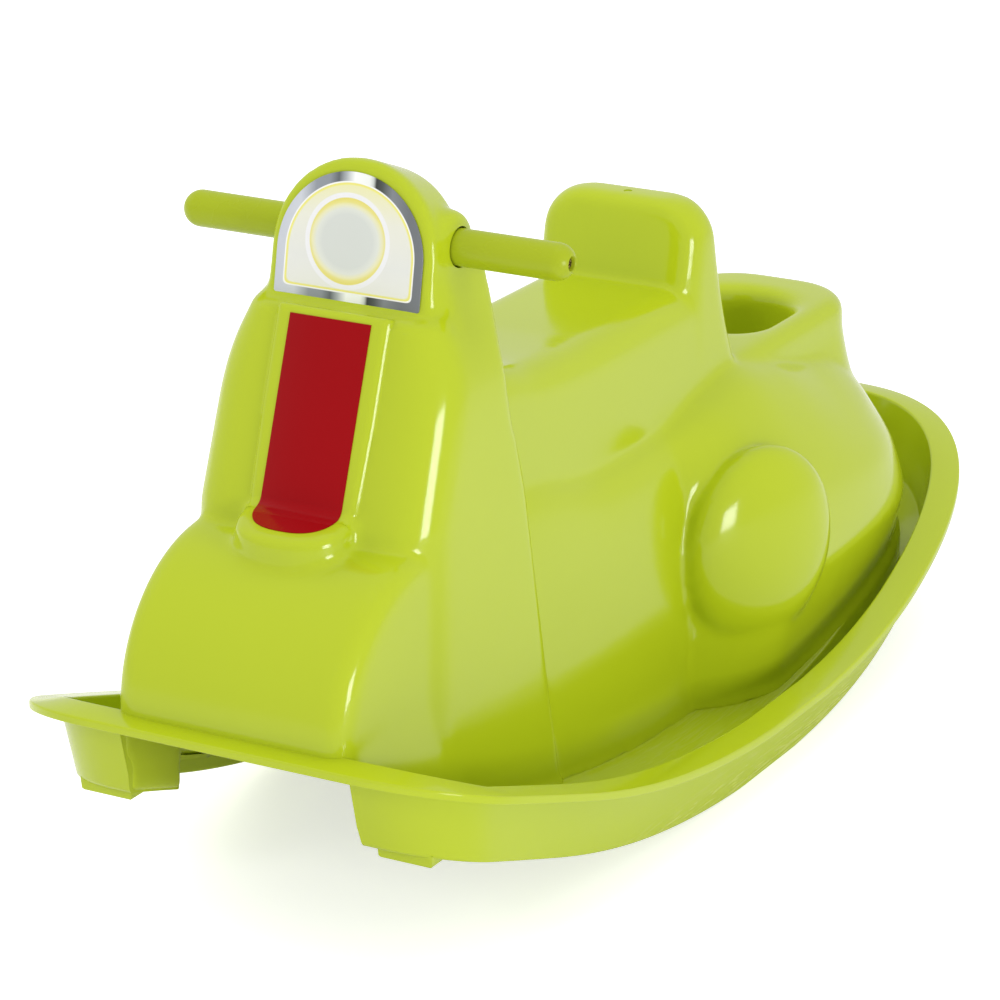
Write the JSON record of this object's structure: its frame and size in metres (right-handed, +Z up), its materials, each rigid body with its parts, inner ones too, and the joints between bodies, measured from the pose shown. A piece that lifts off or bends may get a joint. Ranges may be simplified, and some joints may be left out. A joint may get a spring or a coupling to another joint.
{
  "type": "rocking scooter",
  "caption": "Toddler rocker shaped like a motor scooter, one hollow moulding on curved runners, with handlebar grips, saddle, backrest, storage tub and foil labels.",
  "frame": {"origin": "on the ground under the rocker's lowest point, in the middle of the toy's length and width", "axes": "+Z up, the lamp and fender face -Y, the toy is symmetric about X = 0, and the rider's left hand is at +X"},
  "size_m": [0.336, 0.846, 0.4355],
  "materials": {
    "shell_plastic": "glossy",
    "grip_plastic": "satin",
    "rod_plastic": "matte",
    "screw_steel": "zinc plated",
    "lamp_foil": "printed, glossy",
    "stripe_foil": "printed, satin"
  },
  "bodies": {
    "root": {"body_shell": "shell_plastic", "handlebar_core": "rod_plastic", "grip_left": "grip_plastic", "grip_right": "grip_plastic", "end_screw_left": "screw_steel", "end_screw_right": "screw_steel", "lamp_label": "lamp_foil", "stripe_label": "stripe_foil"}
  },
  "joints": []
}
